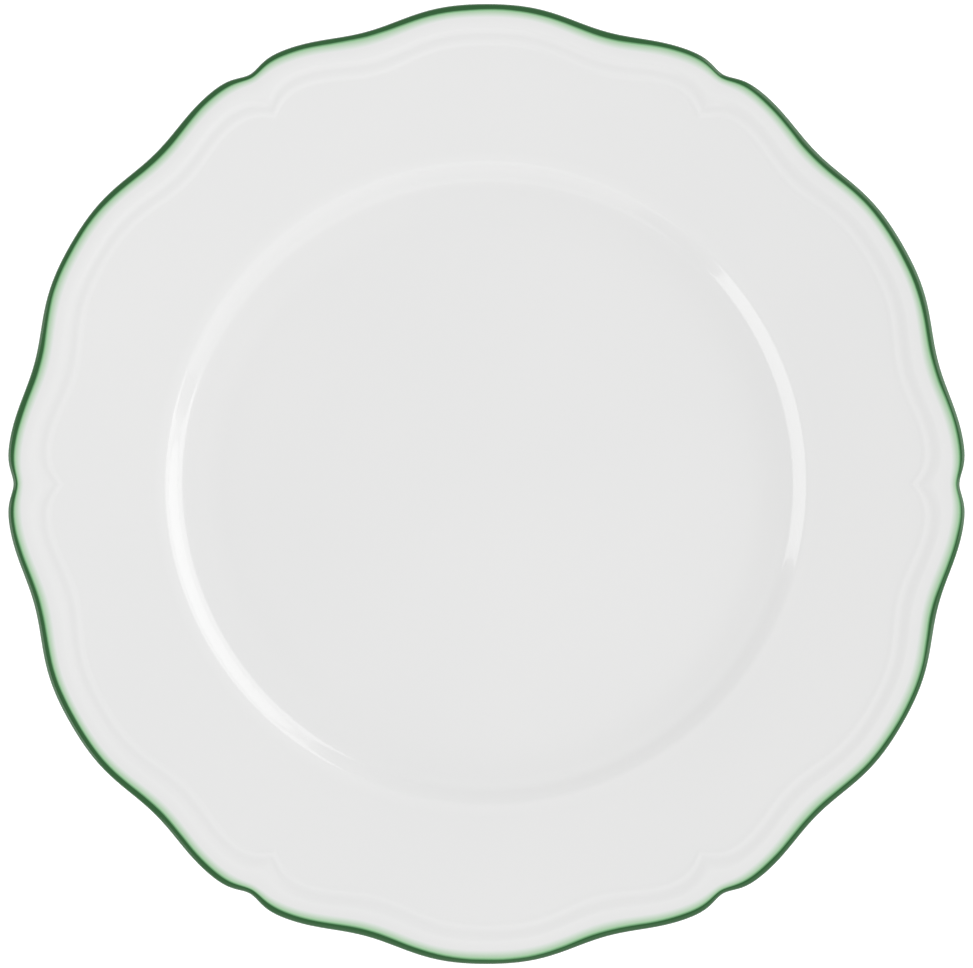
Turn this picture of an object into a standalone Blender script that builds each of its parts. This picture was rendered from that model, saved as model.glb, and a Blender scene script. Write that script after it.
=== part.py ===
"""China dinner plate with a scalloped rim.

Run with: blender --background --python part.py

Metres, +Z up. The origin is on the table under the plate's centre. +X points at one of the six notches in the
rim, and +Y at the crown of a broad lobe between two notches.

The plate is one pressed and fired porcelain body. Its skin is a single layer laid edge to edge: clear glaze on
the front, a fringe of pale green, a line of dark green round the lip, glaze on the back, and glaze inside the
foot ring. The foot ring's own edge stays bare, because the plate stands on it in the kiln.

Every piece is a turned profile, drawn to its size at the crown of a lobe. The turned mesh is then drawn in to
the scalloped outline, by one rule for all the pieces, so that they keep their fit.
"""

import math

import bpy

# Outline, seen from above
LOBES = 6
CROWN_RADIUS = 0.135
WAIST_DEPTH = 0.0033  # from a crown down to the waist halfway to a notch
CROWN_FLATTENING = 0.000335
LIP_NOTCH_DEPTH = 0.00192
PAINT_NOTCH_DEPTH = 0.0010  # the green's inner edge runs straighter than the lip
BEAD_NOTCH_DEPTH = 0.0044  # the moulded bead dips to a deep point
NOTCH_WIDTH = math.radians(2.1)
LIP_NOTCH_ROUNDING = 1.87  # exponent of the notch's bell shape: 2 is round, 1 is a sharp V
BEAD_NOTCH_ROUNDING = 1.25
LOBE_GAIN = 26.0  # growth of the waves for each metre inwards from the lip

# Well, and the verge that steps up from it to the rim
FLOOR_HEIGHT = 0.0068
FLAT_FLOOR_RADIUS = 0.047
DISH_RADIUS = 0.0750
DISH_SLOPE = math.radians(2.5)
COVE_RADIUS = 0.0805  # the well has curved up this far out
COVE_SLOPE = math.radians(13.0)
HOLLOW_RADIUS = 0.0856  # where the verge starts
HOLLOW_SLOPE = math.radians(16.0)
VERGE_SLOPE = math.radians(35.0)
VERGE_FOOT_CURVE = 0.0074
VERGE_FACE_WIDTH = 0.0023  # of the straight face, seen from above
SHOULDER_CURVE = 0.0055
SHOULDER_SLOPE = math.radians(17.0)
RIM_START_RADIUS = 0.0945  # the shoulder has eased into the plain rim
RIM_SLOPE = math.radians(12.5)

# Border of the rim, at distances inwards from the lip
LIP_EDGE_RADIUS = 0.00125
FRINGE_INSET = 0.0039  # inner edge of the pale green
LINE_INSET = LIP_EDGE_RADIUS * (1.0 + math.sin(RIM_SLOPE))  # where the rounding of the lip starts
RIDGE_INSET = 0.0063
GROOVE_INSET = 0.0087
BEAD_INSET = 0.0104
BEAD_FOOT_INSET = 0.0120
RIDGE_HEIGHT = 0.00035  # of the border's ridge over the groove
LIP_FALL = 0.0003  # the border falls away by this from the ridge to the lip
BEAD_HEIGHT = 0.00018

# Back, from the lip in to the foot ring
BACK_TURN_START_RADIUS = 0.095
BACK_TURN_RADIUS = 0.020
BACK_SLOPE = math.radians(26.0)
WALL_THICKNESS = 0.0045

# Foot ring
FOOT_TOP_RADIUS = 0.0816
FOOT_WIDTH = 0.0042
FOOT_DRAFT = math.radians(7.0)
FOOT_OUTER_FILLET = 0.0020
FOOT_INNER_FILLET = 0.0016
FOOT_BEVEL = 0.0007
GLAZE_STOP_HEIGHT = 0.0010
BASE_HEIGHT = 0.0026  # underside of the floor inside the ring

# Skin
SKIN_THICKNESS = 0.00025
GAP = 0.0003

# Mesh
STEPS_PER_LOBE = 14
NOTCH_CROWDING = 1.6  # above 1, the steps round the rim lie closer together near a notch
WELD_DISTANCE = 0.00001
ON_AXIS = 1e-6
SHARP_ANGLE = math.radians(35.0)

BISCUIT_WHITE = (0.80, 0.78, 0.74, 1.0)
GLAZE_WHITE = (0.82, 0.82, 0.81, 1.0)
PALE_GREEN = (0.44, 0.60, 0.44, 1.0)
DARK_GREEN = (0.02, 0.09, 0.03, 1.0)


def blend(low, high, share):
    return low + (high - low) * share


def smooth(share):
    """Ease from 0 to 1, level at both ends."""
    share = min(max(share, 0.0), 1.0)
    return share * share * (3.0 - 2.0 * share)


# Profiles: paths of (radius, height) that run clockwise round the section, with the porcelain on their right


def bend(path, radius, start_slope, end_slope, pieces):
    """Add an arc to a path that arrives at one slope, so that it leaves at another."""
    start_radius, start_height = path[-1]
    side = math.copysign(radius, end_slope - start_slope)
    for piece in range(1, pieces + 1):
        slope = blend(start_slope, end_slope, piece / pieces)
        across = side * (math.sin(slope) - math.sin(start_slope))
        up = side * (math.cos(start_slope) - math.cos(slope))
        path.append((start_radius + across, start_height + up))


def inset(path, depth):
    """The path moved into the porcelain by a depth, with mitred corners."""
    normals = []
    for (r0, z0), (r1, z1) in zip(path, path[1:]):
        length = math.hypot(r1 - r0, z1 - z0)
        normals.append(((z1 - z0) / length, (r0 - r1) / length))
    before = [normals[0]] + normals
    after = normals + [normals[-1]]
    moved = []
    for (radius, height), (ar, az), (br, bz) in zip(path, before, after):
        reach = depth / (1.0 + ar * br + az * bz)
        moved.append((radius + reach * (ar + br), height + reach * (az + bz)))
    return moved


def shortened(path, amount):
    """The path with both ends drawn back along it, unless an end is on the plate's axis."""
    ends = []
    for (r0, z0), (r1, z1) in ((path[0], path[1]), (path[-1], path[-2])):
        share = 0.0 if r0 < ON_AXIS else amount / math.hypot(r1 - r0, z1 - z0)
        ends.append((blend(r0, r1, share), blend(z0, z1, share)))
    return [ends[0]] + path[1:-1] + [ends[1]]


def verge_path():
    """The front, from the middle of the floor to the top of the verge."""
    path = [(0.0, FLOOR_HEIGHT), (FLAT_FLOOR_RADIUS, FLOOR_HEIGHT)]
    dish_curve = (DISH_RADIUS - FLAT_FLOOR_RADIUS) / math.sin(DISH_SLOPE)
    bend(path, dish_curve, 0.0, DISH_SLOPE, 1)
    cove_curve = (COVE_RADIUS - DISH_RADIUS) / (math.sin(COVE_SLOPE) - math.sin(DISH_SLOPE))
    bend(path, cove_curve, DISH_SLOPE, COVE_SLOPE, 2)
    hollow_curve = (HOLLOW_RADIUS - COVE_RADIUS) / (math.sin(HOLLOW_SLOPE) - math.sin(COVE_SLOPE))
    bend(path, hollow_curve, COVE_SLOPE, HOLLOW_SLOPE, 1)
    bend(path, VERGE_FOOT_CURVE, HOLLOW_SLOPE, VERGE_SLOPE, 2)
    foot_radius, foot_height = path[-1]
    path.append((foot_radius + VERGE_FACE_WIDTH, foot_height + VERGE_FACE_WIDTH * math.tan(VERGE_SLOPE)))
    bend(path, SHOULDER_CURVE, VERGE_SLOPE, SHOULDER_SLOPE, 2)
    ease_curve = (RIM_START_RADIUS - path[-1][0]) / (math.sin(SHOULDER_SLOPE) - math.sin(RIM_SLOPE))
    bend(path, ease_curve, SHOULDER_SLOPE, RIM_SLOPE, 1)
    return path


VERGE_RADIUS, VERGE_HEIGHT = verge_path()[-1]


def cone_height(radius):
    """Height of the plain rim."""
    return VERGE_HEIGHT + (radius - VERGE_RADIUS) * math.tan(RIM_SLOPE)


def border_point(distance):
    """A point on the moulded border, at a distance inwards from the lip."""
    ridge = 1.0 - smooth((distance - RIDGE_INSET) / (GROOVE_INSET - RIDGE_INSET))
    fall = smooth((RIDGE_INSET - distance) / (RIDGE_INSET - LINE_INSET))
    bead = smooth(1.0 - abs(distance - BEAD_INSET) / (BEAD_FOOT_INSET - BEAD_INSET))
    radius = CROWN_RADIUS - distance
    return radius, cone_height(radius) + RIDGE_HEIGHT * ridge - LIP_FALL * fall + BEAD_HEIGHT * bead


def front_path():
    ridge_side = (RIDGE_INSET + GROOVE_INSET) / 2
    relief = (BEAD_FOOT_INSET, BEAD_INSET, GROOVE_INSET, ridge_side, RIDGE_INSET, FRINGE_INSET)
    return verge_path() + [border_point(distance) for distance in relief]


def fringe_path():
    return [border_point(FRINGE_INSET), border_point(LINE_INSET)]


def line_path():
    path = [border_point(LINE_INSET)]
    bend(path, LIP_EDGE_RADIUS, RIM_SLOPE, RIM_SLOPE - math.pi, 5)
    return path


def back_path():
    """The underside of the rim, down to where the glaze stops on the foot ring."""
    lip_radius, lip_height = line_path()[-1]
    turn_height = cone_height(BACK_TURN_START_RADIUS) - WALL_THICKNESS / math.cos(RIM_SLOPE)
    path = [(lip_radius, lip_height)]
    for share in (0.5, 1.0):
        path.append((blend(lip_radius, BACK_TURN_START_RADIUS, share), blend(lip_height, turn_height, share)))
    arriving = math.atan2(turn_height - lip_height, BACK_TURN_START_RADIUS - lip_radius)
    leaving = BACK_SLOPE - math.pi
    bend(path, BACK_TURN_RADIUS, arriving, leaving, 2)
    turn_radius, turn_height = path[-1]
    path.append((FOOT_TOP_RADIUS, turn_height - (turn_radius - FOOT_TOP_RADIUS) * math.tan(BACK_SLOPE)))
    bend(path, FOOT_OUTER_FILLET, leaving, -math.pi / 2 - FOOT_DRAFT, 2)
    side_radius, side_height = path[-1]
    drop = side_height - GLAZE_STOP_HEIGHT
    path.append((side_radius - drop * math.tan(FOOT_DRAFT), GLAZE_STOP_HEIGHT))
    return path


def foot_path():
    """The bare edge that the plate stands on."""
    outer = back_path()[-1][0]
    inner = outer - FOOT_WIDTH
    return [
        (outer, FOOT_BEVEL),
        (outer - FOOT_BEVEL, 0.0),
        (inner + FOOT_BEVEL, 0.0),
        (inner, FOOT_BEVEL),
    ]


def base_path():
    """The underside inside the foot ring, in to the axis."""
    leaving = math.pi / 2 + FOOT_DRAFT
    curve_start = BASE_HEIGHT - FOOT_INNER_FILLET * (math.cos(leaving) + 1.0)
    side_radius = foot_path()[-1][0]
    rise = curve_start - GLAZE_STOP_HEIGHT
    path = [(side_radius, GLAZE_STOP_HEIGHT), (side_radius - rise * math.tan(FOOT_DRAFT), curve_start)]
    bend(path, FOOT_INNER_FILLET, leaving, math.pi, 2)
    path.append((0.0, BASE_HEIGHT))
    return path


# Solids


def scalloped_radius(radius, turn):
    """Radius of a ring, given its radius at the crowns and the angle from the nearest notch."""
    distance = CROWN_RADIUS - radius
    waves = 2 * LOBES
    wave = WAIST_DEPTH / 2 * (math.cos(waves * turn) - 1.0)
    flattening = CROWN_FLATTENING * (math.cos(2 * waves * turn) - 1.0)
    paint_share = smooth(distance / FRINGE_INSET)
    bead_share = smooth((distance - FRINGE_INSET) / (GROOVE_INSET - FRINGE_INSET))
    paint_depth = blend(LIP_NOTCH_DEPTH, PAINT_NOTCH_DEPTH, paint_share)
    depth = blend(paint_depth, BEAD_NOTCH_DEPTH, bead_share)
    rounding = blend(LIP_NOTCH_ROUNDING, BEAD_NOTCH_ROUNDING, bead_share)
    notch = depth * math.exp(-((turn / NOTCH_WIDTH) ** rounding))
    scallop = (1.0 + LOBE_GAIN * distance) * (wave - flattening) - notch
    border_radius = CROWN_RADIUS - BEAD_FOOT_INSET
    fade = smooth((radius - VERGE_RADIUS) / (border_radius - VERGE_RADIUS))
    return radius + fade * scallop


def scallop(mesh):
    """Draw a turned mesh in to the scalloped outline, each point keeping its height over the rim's cone."""
    lobe_angle = math.tau / LOBES
    for vertex in mesh.vertices:
        x, y, z = vertex.co
        radius = math.hypot(x, y)
        if radius < ON_AXIS:
            continue
        notch_angle = lobe_angle * round(math.atan2(y, x) / lobe_angle)
        away = math.atan2(y, x) - notch_angle
        turn = lobe_angle / 2 * (abs(away) / (lobe_angle / 2)) ** NOTCH_CROWDING
        angle = notch_angle + math.copysign(turn, away)
        drawn = scalloped_radius(radius, turn)
        height = z + (drawn - radius) * math.tan(RIM_SLOPE)
        vertex.co = (drawn * math.cos(angle), drawn * math.sin(angle), height)


def turned(name, outline, material, collection, parent):
    """A solid of revolution from a closed outline, which may run along the axis, then scalloped."""
    mesh = bpy.data.meshes.new(name)
    count = len(outline)
    edges = []
    for index in range(count):
        following = (index + 1) % count
        if max(outline[index][0], outline[following][0]) > ON_AXIS:
            edges.append((index, following))
    mesh.from_pydata([(radius, 0.0, height) for radius, height in outline], edges, [])
    piece = bpy.data.objects.new(name, mesh)
    collection.objects.link(piece)
    screw = piece.modifiers.new("Turn", "SCREW")
    screw.axis = "Z"
    screw.steps = LOBES * STEPS_PER_LOBE
    screw.render_steps = screw.steps
    screw.use_merge_vertices = True
    screw.merge_threshold = WELD_DISTANCE
    evaluated = piece.evaluated_get(bpy.context.evaluated_depsgraph_get())
    solid = bpy.data.meshes.new_from_object(evaluated)
    solid.name = name
    piece.modifiers.remove(screw)
    piece.data = solid
    bpy.data.meshes.remove(mesh)
    scallop(solid)
    solid.materials.append(material)
    solid.shade_smooth()
    solid.set_sharp_from_angle(angle=SHARP_ANGLE)
    piece.parent = parent
    return piece


def skin(name, path, material, collection, parent):
    """A layer of glaze or colour that lies along part of the outline."""
    outer = shortened(path, GAP / 2)
    inner = inset(outer, SKIN_THICKNESS)
    return turned(name, outer + inner[::-1], material, collection, parent)


def body_outline():
    """The fired body: under the skin everywhere but on the foot ring's edge."""
    under_skin = SKIN_THICKNESS + GAP
    covered = front_path() + fringe_path()[1:] + line_path()[1:] + back_path()[1:]
    return inset(covered, under_skin) + foot_path() + inset(base_path(), under_skin)


def material_of(name, color, roughness, coat):
    material = bpy.data.materials.new(name)
    material.use_nodes = True
    shader = material.node_tree.nodes["Principled BSDF"]
    shader.inputs["Base Color"].default_value = color
    shader.inputs["Roughness"].default_value = roughness
    shader.inputs["Metallic"].default_value = 0.0
    shader.inputs["Coat Weight"].default_value = coat
    material.diffuse_color = color
    return material


def main():
    for old in list(bpy.data.objects):
        bpy.data.objects.remove(old)
    collection = bpy.data.collections.new("china_dinner_plate")
    bpy.context.scene.collection.children.link(collection)
    plate = bpy.data.objects.new("plate_origin", None)
    collection.objects.link(plate)

    biscuit = material_of("biscuit_porcelain", BISCUIT_WHITE, 0.6, 0.0)
    glaze = material_of("clear_glaze", GLAZE_WHITE, 0.12, 1.0)
    pale_green = material_of("pale_green_enamel", PALE_GREEN, 0.15, 1.0)
    dark_green = material_of("dark_green_enamel", DARK_GREEN, 0.15, 1.0)

    turned("porcelain_body", body_outline(), biscuit, collection, plate)
    skin("front_glaze", front_path(), glaze, collection, plate)
    skin("pale_green_fringe", fringe_path(), pale_green, collection, plate)
    skin("dark_green_line", line_path(), dark_green, collection, plate)
    skin("back_glaze", back_path(), glaze, collection, plate)
    skin("base_glaze", base_path(), glaze, collection, plate)


main()
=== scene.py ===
"""Looks of the china dinner plate: fine meshes, glaze and colour, and the studio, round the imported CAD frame.

Metres, +Z up, in the frame's own axes: +X points at a notch in the rim and +Y at the crown of a broad lobe.

The visible pieces follow the CAD nodes one for one. Each is a turned profile, drawn at the crown of a lobe
and then drawn in to the scalloped outline, as in the CAD, but with far finer steps and with the skin laid
flush on the body and edge to edge.
"""

import math

import bpy
import numpy as np
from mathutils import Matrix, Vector


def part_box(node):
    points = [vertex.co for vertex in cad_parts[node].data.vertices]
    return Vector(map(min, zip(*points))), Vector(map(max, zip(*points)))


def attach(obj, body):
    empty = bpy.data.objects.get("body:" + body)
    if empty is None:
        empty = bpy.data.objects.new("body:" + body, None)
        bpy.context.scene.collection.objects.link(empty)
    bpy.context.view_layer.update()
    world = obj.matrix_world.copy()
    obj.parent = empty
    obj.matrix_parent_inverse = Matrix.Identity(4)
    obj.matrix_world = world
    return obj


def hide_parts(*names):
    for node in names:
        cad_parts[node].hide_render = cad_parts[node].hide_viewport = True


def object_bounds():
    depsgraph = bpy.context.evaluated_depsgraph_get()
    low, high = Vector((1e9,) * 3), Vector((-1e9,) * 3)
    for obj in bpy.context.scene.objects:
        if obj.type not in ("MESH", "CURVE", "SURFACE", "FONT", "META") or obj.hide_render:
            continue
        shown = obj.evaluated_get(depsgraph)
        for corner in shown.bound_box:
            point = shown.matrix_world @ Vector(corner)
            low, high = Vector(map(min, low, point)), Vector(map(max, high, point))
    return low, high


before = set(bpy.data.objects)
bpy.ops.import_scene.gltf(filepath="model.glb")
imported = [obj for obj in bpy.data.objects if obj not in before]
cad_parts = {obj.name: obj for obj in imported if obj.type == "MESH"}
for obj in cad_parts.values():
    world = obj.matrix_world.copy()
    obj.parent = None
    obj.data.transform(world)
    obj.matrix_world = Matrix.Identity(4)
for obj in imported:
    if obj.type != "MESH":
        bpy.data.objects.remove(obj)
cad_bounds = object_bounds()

# Outline, seen from above
LOBES = 6
CROWN_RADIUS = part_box("dark_green_line")[1].y
WAIST_DEPTH = 0.0033
CROWN_FLATTENING = 0.000335
LIP_NOTCH_DEPTH = 0.00192
PAINT_NOTCH_DEPTH = 0.0010
BEAD_NOTCH_DEPTH = 0.0044
NOTCH_WIDTH = math.radians(2.1)
LIP_NOTCH_ROUNDING = 1.87
BEAD_NOTCH_ROUNDING = 1.25
LOBE_GAIN = 26.0

# Well, verge and rim
FLOOR_HEIGHT = 0.0068
FLAT_FLOOR_RADIUS = 0.047
DISH_RADIUS = 0.0750
DISH_SLOPE = math.radians(2.5)
COVE_RADIUS = 0.0805
COVE_SLOPE = math.radians(13.0)
HOLLOW_RADIUS = 0.0856
HOLLOW_SLOPE = math.radians(16.0)
VERGE_SLOPE = math.radians(35.0)
VERGE_FOOT_CURVE = 0.0074
VERGE_FACE_WIDTH = 0.0023
SHOULDER_CURVE = 0.0055
SHOULDER_SLOPE = math.radians(17.0)
RIM_START_RADIUS = 0.0945
RIM_SLOPE = math.radians(12.5)

# Border of the rim, at distances inwards from the lip
LIP_EDGE_RADIUS = 0.00125
FRINGE_INSET = 0.0039
LINE_INSET = LIP_EDGE_RADIUS * (1.0 + math.sin(RIM_SLOPE))
RIDGE_INSET = 0.0063
GROOVE_INSET = 0.0087
BEAD_INSET = 0.0104
BEAD_FOOT_INSET = 0.0120
RIDGE_HEIGHT = 0.00035
LIP_FALL = 0.0003
BEAD_HEIGHT = 0.00018

# Back and foot ring
BACK_TURN_START_RADIUS = 0.095
BACK_TURN_RADIUS = 0.020
BACK_SLOPE = math.radians(26.0)
WALL_THICKNESS = 0.0045
FOOT_TOP_RADIUS = 0.0816
FOOT_WIDTH = 0.0042
FOOT_DRAFT = math.radians(7.0)
FOOT_OUTER_FILLET = 0.0020
FOOT_INNER_FILLET = 0.0016
FOOT_ROUNDING = 0.0007
GLAZE_STOP_HEIGHT = 0.0010
BASE_HEIGHT = 0.0026

# Skin and mesh
SKIN_THICKNESS = 0.00025
STEPS_PER_LOBE = 80
NOTCH_CROWDING = 1.35
INNER_THINNING = 4  # the hidden side of the skin keeps one point in this many
WELD_DISTANCE = 0.000005
ON_AXIS = 1e-6
SHARP_ANGLE = math.radians(35.0)

# Camera
LENS = 135.0
SENSOR_WIDTH = 36.0
FRAME_WIDTH = 0.27357  # width of the view at the height of the lip


def blend(low, high, share):
    return low + (high - low) * share


def smooth(share):
    """Ease from 0 to 1, level at both ends."""
    share = np.clip(share, 0.0, 1.0)
    return share * share * (3.0 - 2.0 * share)


# Profiles: paths of (radius, height) that run clockwise round the section, with the porcelain on their right


def run(path, radius, height, pieces):
    """Add a straight stretch to a path."""
    start_radius, start_height = path[-1]
    for piece in range(1, pieces + 1):
        share = piece / pieces
        path.append((blend(start_radius, radius, share), blend(start_height, height, share)))


def bend(path, radius, start_slope, end_slope, pieces):
    """Add an arc to a path that arrives at one slope, so that it leaves at another."""
    start_radius, start_height = path[-1]
    side = math.copysign(radius, end_slope - start_slope)
    for piece in range(1, pieces + 1):
        slope = blend(start_slope, end_slope, piece / pieces)
        across = side * (math.sin(slope) - math.sin(start_slope))
        up = side * (math.cos(start_slope) - math.cos(slope))
        path.append((start_radius + across, start_height + up))


def inset(path, depth):
    """The path moved into the porcelain by a depth, with mitred corners."""
    normals = []
    for (r0, z0), (r1, z1) in zip(path, path[1:]):
        length = math.hypot(r1 - r0, z1 - z0)
        normals.append(((z1 - z0) / length, (r0 - r1) / length))
    before = [normals[0]] + normals
    after = normals + [normals[-1]]
    moved = []
    for (radius, height), (ar, az), (br, bz) in zip(path, before, after):
        reach = depth / (1.0 + ar * br + az * bz)
        moved.append((radius + reach * (ar + br), height + reach * (az + bz)))
    return moved


def thinned(path):
    """Every few points of a path, and both its ends."""
    return path[:-1:INNER_THINNING] + [path[-1]]


def verge_path():
    """The front, from the middle of the floor to the top of the verge."""
    path = [(0.0, FLOOR_HEIGHT)]
    run(path, FLAT_FLOOR_RADIUS, FLOOR_HEIGHT, 5)
    dish_curve = (DISH_RADIUS - FLAT_FLOOR_RADIUS) / math.sin(DISH_SLOPE)
    bend(path, dish_curve, 0.0, DISH_SLOPE, 10)
    cove_curve = (COVE_RADIUS - DISH_RADIUS) / (math.sin(COVE_SLOPE) - math.sin(DISH_SLOPE))
    bend(path, cove_curve, DISH_SLOPE, COVE_SLOPE, 10)
    hollow_curve = (HOLLOW_RADIUS - COVE_RADIUS) / (math.sin(HOLLOW_SLOPE) - math.sin(COVE_SLOPE))
    bend(path, hollow_curve, COVE_SLOPE, HOLLOW_SLOPE, 6)
    bend(path, VERGE_FOOT_CURVE, HOLLOW_SLOPE, VERGE_SLOPE, 12)
    foot_radius, foot_height = path[-1]
    run(path, foot_radius + VERGE_FACE_WIDTH, foot_height + VERGE_FACE_WIDTH * math.tan(VERGE_SLOPE), 4)
    bend(path, SHOULDER_CURVE, VERGE_SLOPE, SHOULDER_SLOPE, 12)
    ease_curve = (RIM_START_RADIUS - path[-1][0]) / (math.sin(SHOULDER_SLOPE) - math.sin(RIM_SLOPE))
    bend(path, ease_curve, SHOULDER_SLOPE, RIM_SLOPE, 6)
    return path


VERGE_RADIUS, VERGE_HEIGHT = verge_path()[-1]


def cone_height(radius):
    """Height of the plain rim."""
    return VERGE_HEIGHT + (radius - VERGE_RADIUS) * math.tan(RIM_SLOPE)


def border_point(distance):
    """A point on the moulded border, at a distance inwards from the lip."""
    ridge = 1.0 - smooth((distance - RIDGE_INSET) / (GROOVE_INSET - RIDGE_INSET))
    fall = smooth((RIDGE_INSET - distance) / (RIDGE_INSET - LINE_INSET))
    bead = smooth(1.0 - abs(distance - BEAD_INSET) / (BEAD_FOOT_INSET - BEAD_INSET))
    radius = CROWN_RADIUS - distance
    return radius, cone_height(radius) + RIDGE_HEIGHT * ridge - LIP_FALL * fall + BEAD_HEIGHT * bead


def border_path(start, end, pieces):
    return [border_point(blend(start, end, piece / pieces)) for piece in range(pieces + 1)]


def front_path():
    path = verge_path()
    run(path, *border_point(BEAD_FOOT_INSET), 14)
    return path + border_path(BEAD_FOOT_INSET, FRINGE_INSET, 54)[1:]


def fringe_path():
    return border_path(FRINGE_INSET, LINE_INSET, 10)


def line_path():
    path = [border_point(LINE_INSET)]
    bend(path, LIP_EDGE_RADIUS, RIM_SLOPE, RIM_SLOPE - math.pi, 24)
    return path


def back_path():
    """The underside of the rim, down to where the glaze stops on the foot ring."""
    path = [line_path()[-1]]
    lip_radius, lip_height = path[0]
    turn_height = cone_height(BACK_TURN_START_RADIUS) - WALL_THICKNESS / math.cos(RIM_SLOPE)
    run(path, BACK_TURN_START_RADIUS, turn_height, 16)
    arriving = math.atan2(turn_height - lip_height, BACK_TURN_START_RADIUS - lip_radius)
    leaving = BACK_SLOPE - math.pi
    bend(path, BACK_TURN_RADIUS, arriving, leaving, 8)
    turn_radius, turn_height = path[-1]
    drop = (turn_radius - FOOT_TOP_RADIUS) * math.tan(BACK_SLOPE)
    run(path, FOOT_TOP_RADIUS, turn_height - drop, 4)
    bend(path, FOOT_OUTER_FILLET, leaving, -math.pi / 2 - FOOT_DRAFT, 8)
    side_radius, side_height = path[-1]
    drop = side_height - GLAZE_STOP_HEIGHT
    run(path, side_radius - drop * math.tan(FOOT_DRAFT), GLAZE_STOP_HEIGHT, 3)
    return path


def foot_path():
    """The bare edge that the plate stands on, inside the glaze on both its sides."""
    outer = back_path()[-1][0] - SKIN_THICKNESS
    inner = back_path()[-1][0] - FOOT_WIDTH + SKIN_THICKNESS
    path = [(outer, FOOT_ROUNDING)]
    bend(path, FOOT_ROUNDING, -math.pi / 2, -math.pi, 6)
    run(path, inner + FOOT_ROUNDING, 0.0, 3)
    bend(path, FOOT_ROUNDING, -math.pi, -3 * math.pi / 2, 6)
    return path


def base_path():
    """The underside inside the foot ring, in to the axis."""
    leaving = math.pi / 2 + FOOT_DRAFT
    curve_start = BASE_HEIGHT - FOOT_INNER_FILLET * (math.cos(leaving) + 1.0)
    side_radius = back_path()[-1][0] - FOOT_WIDTH
    rise = curve_start - GLAZE_STOP_HEIGHT
    path = [(side_radius, GLAZE_STOP_HEIGHT)]
    run(path, side_radius - rise * math.tan(FOOT_DRAFT), curve_start, 2)
    bend(path, FOOT_INNER_FILLET, leaving, math.pi, 8)
    run(path, 0.0, BASE_HEIGHT, 6)
    return path


def body_outline():
    """The fired body, which fills the inside of the skin and shows only at the foot ring's edge."""
    covered = front_path() + fringe_path()[1:] + line_path()[1:] + back_path()[1:]
    return thinned(inset(covered, SKIN_THICKNESS)) + foot_path() + thinned(inset(base_path(), SKIN_THICKNESS))


# Meshes


def scalloped_radius(radius, turn):
    """Radii of rings, given their radii at the crowns and the angles from the nearest notch."""
    distance = CROWN_RADIUS - radius
    waves = 2 * LOBES
    wave = WAIST_DEPTH / 2 * (np.cos(waves * turn) - 1.0)
    flattening = CROWN_FLATTENING * (np.cos(2 * waves * turn) - 1.0)
    paint_share = smooth(distance / FRINGE_INSET)
    bead_share = smooth((distance - FRINGE_INSET) / (GROOVE_INSET - FRINGE_INSET))
    paint_depth = blend(LIP_NOTCH_DEPTH, PAINT_NOTCH_DEPTH, paint_share)
    depth = blend(paint_depth, BEAD_NOTCH_DEPTH, bead_share)
    rounding = blend(LIP_NOTCH_ROUNDING, BEAD_NOTCH_ROUNDING, bead_share)
    notch = depth * np.exp(-((turn / NOTCH_WIDTH) ** rounding))
    scallop = (1.0 + LOBE_GAIN * distance) * (wave - flattening) - notch
    border_radius = CROWN_RADIUS - BEAD_FOOT_INSET
    fade = smooth((radius - VERGE_RADIUS) / (border_radius - VERGE_RADIUS))
    return radius + fade * scallop


def scallop(mesh):
    """Draw a turned mesh in to the scalloped outline, and keep how far in from the lip each point was."""
    flat = np.empty(3 * len(mesh.vertices))
    mesh.vertices.foreach_get("co", flat)
    x, y, z = flat.reshape(-1, 3).T
    radius = np.hypot(x, y)
    around = np.arctan2(y, x)
    lobe_angle = math.tau / LOBES
    notch_angle = lobe_angle * np.round(around / lobe_angle)
    away = around - notch_angle
    turn = lobe_angle / 2 * (np.abs(away) / (lobe_angle / 2)) ** NOTCH_CROWDING
    angle = notch_angle + np.copysign(turn, away)
    drawn = np.where(radius > ON_AXIS, scalloped_radius(radius, turn), 0.0)
    height = z + (drawn - radius) * math.tan(RIM_SLOPE)
    points = np.stack([drawn * np.cos(angle), drawn * np.sin(angle), height], axis=1)
    mesh.vertices.foreach_set("co", points.ravel())
    for name, width in (("across_green", FRINGE_INSET), ("across_rim", PAINTED_LIGHT_WIDTH)):
        across = mesh.attributes.new(name, "FLOAT", "POINT")
        across.data.foreach_set("value", (CROWN_RADIUS - radius) / width)
    mesh.update()


def turned(name, outline, material, replaced):
    """A solid of revolution from a closed outline, which may run along the axis, then scalloped."""
    profile = bpy.data.meshes.new(name + "_profile")
    following = list(range(1, len(outline))) + [0]
    edges = []
    for start, end in enumerate(following):
        if max(outline[start][0], outline[end][0]) > ON_AXIS:
            edges.append((start, end))
    profile.from_pydata([(radius, 0.0, height) for radius, height in outline], edges, [])
    piece = bpy.data.objects.new(name, profile)
    bpy.context.scene.collection.objects.link(piece)
    screw = piece.modifiers.new("Turn", "SCREW")
    screw.axis = "Z"
    screw.steps = LOBES * STEPS_PER_LOBE
    screw.render_steps = screw.steps
    screw.use_merge_vertices = True
    screw.merge_threshold = WELD_DISTANCE
    evaluated = piece.evaluated_get(bpy.context.evaluated_depsgraph_get())
    solid = bpy.data.meshes.new_from_object(evaluated)
    solid.name = name
    piece.modifiers.remove(screw)
    piece.data = solid
    bpy.data.meshes.remove(profile)
    scallop(solid)
    solid.materials.append(material)
    solid.shade_smooth()
    solid.set_sharp_from_angle(angle=SHARP_ANGLE)
    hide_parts(replaced)
    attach(piece, "root")
    return piece


def skin(name, path, material, replaced):
    """A layer of glaze or colour that lies flush along part of the outline."""
    outline = path + thinned(inset(path, SKIN_THICKNESS))[::-1]
    return turned(name, outline, material, replaced)


# Materials

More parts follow.
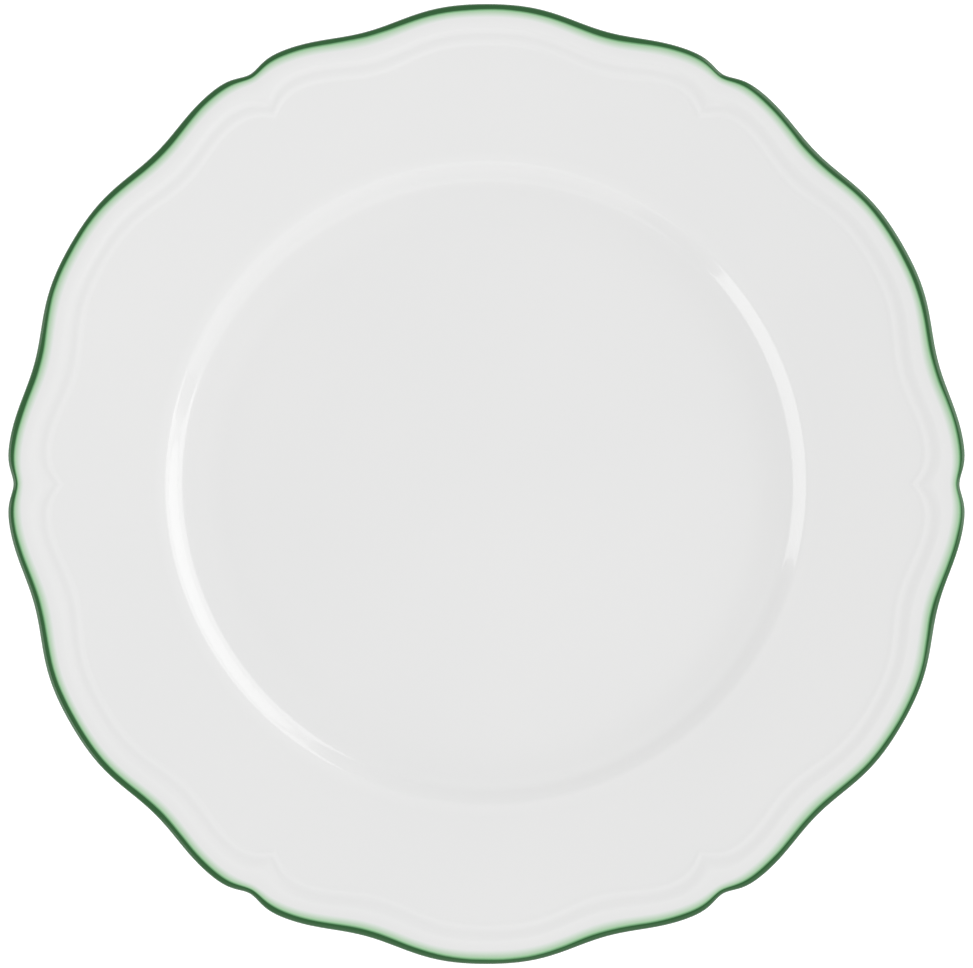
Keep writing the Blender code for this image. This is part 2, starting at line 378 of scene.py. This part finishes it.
# Gloss: scales are in cycles to the metre, heights in metres
CLOUD_SCALE = 35.0
SWELL_SCALE = 160.0
SWELL_STRENGTH = 0.25
SWELL_HEIGHT = 0.00004
GLAZE_ROUGHNESS = (0.10, 0.14)
FRINGE_ROUGHNESS = (0.10, 0.15)
LINE_ROUGHNESS = (0.15, 0.25)
GLAZE_REFRACTION = 1.52
LINE_REFRACTION = 1.62
GLAZE_COAT = 0.5
LINE_COAT = 0.0
COAT_ROUGHNESS = 0.03
COAT_REFRACTION = 1.5
# Bare porcelain
BISCUIT_DARK = (0.60, 0.57, 0.52)
BISCUIT_PALE = (0.74, 0.72, 0.67)
BISCUIT_ROUGHNESS = 0.7
WEAR_SCALE = 60.0
GRAIN_SCALE = 2500.0
GRAIN_STRENGTH = 0.5
GRAIN_HEIGHT = 0.00005


def new_material(name):
    """A material with an empty Principled shader, its node tree and its object coordinates."""
    material = bpy.data.materials.new(name)
    material.use_nodes = True
    tree = material.node_tree
    coordinates = tree.nodes.new("ShaderNodeTexCoord")
    return material, tree, tree.nodes["Principled BSDF"], coordinates.outputs["Object"]


def noise(tree, coordinates, scale, detail):
    node = tree.nodes.new("ShaderNodeTexNoise")
    node.inputs["Scale"].default_value = scale
    node.inputs["Detail"].default_value = detail
    tree.links.new(coordinates, node.inputs["Vector"])
    return node.outputs["Fac"]


def ramp(tree, value, stops):
    """Colours, or greys given as one number, along a value from 0 to 1."""
    node = tree.nodes.new("ShaderNodeValToRGB")
    elements = node.color_ramp.elements
    while len(elements) < len(stops):
        elements.new(1.0)
    for element, (position, color) in zip(elements, stops):
        element.position = position
        element.color = (*color, 1.0) if isinstance(color, tuple) else (color, color, color, 1.0)
    tree.links.new(value, node.inputs["Fac"])
    return node.outputs["Color"]


def gloss(tree, shader, coordinates, roughness_range, refraction, coat):
    """The fired gloss of glaze: a hard clear coat, a faint swell in the surface and a little unevenness."""
    low, high = roughness_range
    cloud = noise(tree, coordinates, CLOUD_SCALE, 3.0)
    tree.links.new(ramp(tree, cloud, [(0.35, low), (0.65, high)]), shader.inputs["Roughness"])
    swell = tree.nodes.new("ShaderNodeBump")
    swell.inputs["Strength"].default_value = SWELL_STRENGTH
    swell.inputs["Distance"].default_value = SWELL_HEIGHT
    tree.links.new(noise(tree, coordinates, SWELL_SCALE, 2.0), swell.inputs["Height"])
    tree.links.new(swell.outputs["Normal"], shader.inputs["Normal"])
    shader.inputs["IOR"].default_value = refraction
    shader.inputs["Coat Weight"].default_value = coat
    shader.inputs["Coat Roughness"].default_value = COAT_ROUGHNESS
    shader.inputs["Coat IOR"].default_value = COAT_REFRACTION


WHITE = (0.805, 0.805, 0.802)
WHITE_SHADE = (0.793, 0.795, 0.793)
# Tones of the glaze, with painted light: a painted highlight on the verge, the ridge and the bead, and painted
# shade in the groove
PAINTED_LIGHT_WIDTH = 0.0515  # from the lip in to the foot of the verge
PLAIN_TONE = 0.98
# painted shade in the groove
GROOVE_PAINTED_SHADE = 0.967
# painted highlight on the ridge and the bead
RELIEF_PAINTED_HIGHLIGHT = 1.0
# painted highlight on the verge
VERGE_PAINTED_HIGHLIGHT = 1.015
VERGE_HIGHLIGHT_RADIUS = 0.0895
PLAIN_TONES = [(0.0, PLAIN_TONE), (1.0, PLAIN_TONE)]
FRONT_PAINTED_LIGHT = [
    (FRINGE_INSET / PAINTED_LIGHT_WIDTH, GROOVE_PAINTED_SHADE),
    (RIDGE_INSET / PAINTED_LIGHT_WIDTH, RELIEF_PAINTED_HIGHLIGHT),
    (GROOVE_INSET / PAINTED_LIGHT_WIDTH, GROOVE_PAINTED_SHADE),
    (BEAD_INSET / PAINTED_LIGHT_WIDTH, RELIEF_PAINTED_HIGHLIGHT),
    (BEAD_FOOT_INSET / PAINTED_LIGHT_WIDTH, PLAIN_TONE),
    ((CROWN_RADIUS - RIM_START_RADIUS) / PAINTED_LIGHT_WIDTH, PLAIN_TONE),
    ((CROWN_RADIUS - VERGE_HIGHLIGHT_RADIUS) / PAINTED_LIGHT_WIDTH, VERGE_PAINTED_HIGHLIGHT),
    (1.0, PLAIN_TONE),
]
# Greens from the lip, at 0, to the inner edge of the fringe, at 1
GREENS = [
    (0.00, (0.002, 0.090, 0.010)),
    (0.15, (0.001, 0.078, 0.006)),
    (0.39, (0.001, 0.088, 0.008)),
    (0.47, (0.165, 0.410, 0.180)),
    (0.54, (0.360, 0.595, 0.360)),
    (0.66, (0.480, 0.630, 0.478)),
    (0.80, (0.605, 0.705, 0.607)),
    (0.91, (0.700, 0.748, 0.704)),
    (1.00, (0.768, 0.780, 0.774)),
]
BAND_WAVER = 0.32  # how far the edge of the green strays each way, at most


def glaze_material(name, tones):
    """White, a little cloudy, and with the painted highlights and shade of the tones from the lip in to the
    well.
    """
    material, tree, shader, coordinates = new_material(name)
    cloud = ramp(tree, noise(tree, coordinates, 14.0, 4.0), [(0.3, WHITE_SHADE), (0.7, WHITE)])
    inwards = tree.nodes.new("ShaderNodeAttribute")
    inwards.attribute_name = "across_rim"
    toned = tree.nodes.new("ShaderNodeVectorMath")
    toned.operation = "MULTIPLY"
    tree.links.new(cloud, toned.inputs[0])
    # the tones paint highlights and shade into the white
    tree.links.new(ramp(tree, inwards.outputs["Fac"], tones), toned.inputs[1])
    tree.links.new(toned.outputs["Vector"], shader.inputs["Base Color"])
    gloss(tree, shader, coordinates, GLAZE_ROUGHNESS, GLAZE_REFRACTION, GLAZE_COAT)
    return material


def enamel_material(name, roughness_range, refraction, coat):
    """Dark green from the lip to a hand-banded edge, then a pale green that fades to white."""
    material, tree, shader, coordinates = new_material(name)
    across = tree.nodes.new("ShaderNodeAttribute")
    across.attribute_name = "across_green"
    waver = tree.nodes.new("ShaderNodeMapRange")
    waver.inputs["To Min"].default_value = -BAND_WAVER
    waver.inputs["To Max"].default_value = BAND_WAVER
    tree.links.new(noise(tree, coordinates, 24.0, 3.0), waver.inputs["Value"])
    place = tree.nodes.new("ShaderNodeMix")
    tree.links.new(across.outputs["Fac"], place.inputs["Factor"])
    tree.links.new(waver.outputs["Result"], place.inputs["A"])
    place.inputs["B"].default_value = 1.0
    tree.links.new(ramp(tree, place.outputs["Result"], GREENS), shader.inputs["Base Color"])
    gloss(tree, shader, coordinates, roughness_range, refraction, coat)
    return material


def biscuit_material():
    """Bare fired porcelain, dry and finely grained, a little darker where it has rubbed on tables."""
    material, tree, shader, coordinates = new_material("bare_porcelain")
    wear = noise(tree, coordinates, WEAR_SCALE, 4.0)
    tones = [(0.35, BISCUIT_DARK), (0.6, BISCUIT_PALE)]
    tree.links.new(ramp(tree, wear, tones), shader.inputs["Base Color"])
    grain = tree.nodes.new("ShaderNodeBump")
    grain.inputs["Strength"].default_value = GRAIN_STRENGTH
    grain.inputs["Distance"].default_value = GRAIN_HEIGHT
    tree.links.new(noise(tree, coordinates, GRAIN_SCALE, 4.0), grain.inputs["Height"])
    tree.links.new(grain.outputs["Normal"], shader.inputs["Normal"])
    shader.inputs["Roughness"].default_value = BISCUIT_ROUGHNESS
    return material


# Studio

FLOOR_SIZE = 20.0
FLOOR_WHITE = (0.82, 0.82, 0.82, 1.0)
FLOOR_ROUGHNESS = 0.9
FLOOR_GLOW = 0.45


def floor_material():
    """A pale table that glows a little, so that it stays white close to the plate."""
    material, _, shader, _ = new_material("pale_floor")
    shader.inputs["Base Color"].default_value = FLOOR_WHITE
    shader.inputs["Roughness"].default_value = FLOOR_ROUGHNESS
    shader.inputs["Specular IOR Level"].default_value = 0.0
    shader.inputs["Emission Color"].default_value = (1.0, 1.0, 1.0, 1.0)
    shader.inputs["Emission Strength"].default_value = FLOOR_GLOW
    return material


def make_floor():
    bpy.ops.mesh.primitive_plane_add(size=FLOOR_SIZE)
    floor = bpy.context.object
    floor.name = "floor"
    floor.data.materials.append(floor_material())


def make_camera():
    """Straight above the plate, with +Y up the picture."""
    lip_height = cad_bounds[1].z - LIP_EDGE_RADIUS
    data = bpy.data.cameras.new("camera")
    data.lens = LENS
    data.sensor_width = SENSOR_WIDTH
    data.clip_end = 20.0
    camera = bpy.data.objects.new("camera", data)
    camera.location = (0.0, 0.0, lip_height + LENS * FRAME_WIDTH / SENSOR_WIDTH)
    bpy.context.scene.collection.objects.link(camera)
    bpy.context.scene.camera = camera


SKY = 0.67
SOFTBOX_DISTANCE = 1.3
# Softboxes: name, degrees round from +X, degrees above the table, width and height in metres, watts
SOFTBOXES = [
    ("right_key_low", 22.0, 15.0, 1.7, 0.7, 6.8),
    ("right_key_high", 22.0, 42.0, 1.5, 0.5, 3.2),
    ("left_fill", 194.0, 22.0, 1.2, 0.9, 5.8),
    ("front_fill", 290.0, 32.0, 2.4, 1.6, 4.6),
]


def make_lights():
    world = bpy.data.worlds.new("studio")
    world.use_nodes = True
    world.node_tree.nodes["Background"].inputs["Color"].default_value = (1.0, 1.0, 1.0, 1.0)
    world.node_tree.nodes["Background"].inputs["Strength"].default_value = SKY
    bpy.context.scene.world = world
    for name, around, above, width, height, watts in SOFTBOXES:
        data = bpy.data.lights.new(name, "AREA")
        data.shape = "RECTANGLE"
        data.size = width
        data.size_y = height
        data.energy = watts
        light = bpy.data.objects.new(name, data)
        turn, rise = math.radians(around), math.radians(above)
        direction = Vector((math.cos(turn) * math.cos(rise), math.sin(turn) * math.cos(rise), math.sin(rise)))
        light.location = direction * SOFTBOX_DISTANCE
        light.rotation_euler = direction.to_track_quat("Z", "Y").to_euler()
        light.visible_camera = False
        bpy.context.scene.collection.objects.link(light)


def main():
    glaze = glaze_material("clear_glaze_on_front", FRONT_PAINTED_LIGHT)
    skin("glaze_on_front", front_path(), glaze, "front_glaze")
    fringe = enamel_material("pale_green_enamel", FRINGE_ROUGHNESS, GLAZE_REFRACTION, GLAZE_COAT)
    skin("fading_green_fringe", fringe_path(), fringe, "pale_green_fringe")
    line = enamel_material("dark_green_enamel", LINE_ROUGHNESS, LINE_REFRACTION, LINE_COAT)
    skin("green_lip_line", line_path(), line, "dark_green_line")
    plain_glaze = glaze_material("clear_glaze_on_back", PLAIN_TONES)
    skin("glaze_on_back", back_path(), plain_glaze, "back_glaze")
    skin("glaze_on_base", base_path(), plain_glaze, "base_glaze")
    turned("fired_body", body_outline(), biscuit_material(), "porcelain_body")
    make_floor()
    make_camera()
    make_lights()
    bpy.context.scene.view_settings.view_transform = "Standard"


main()
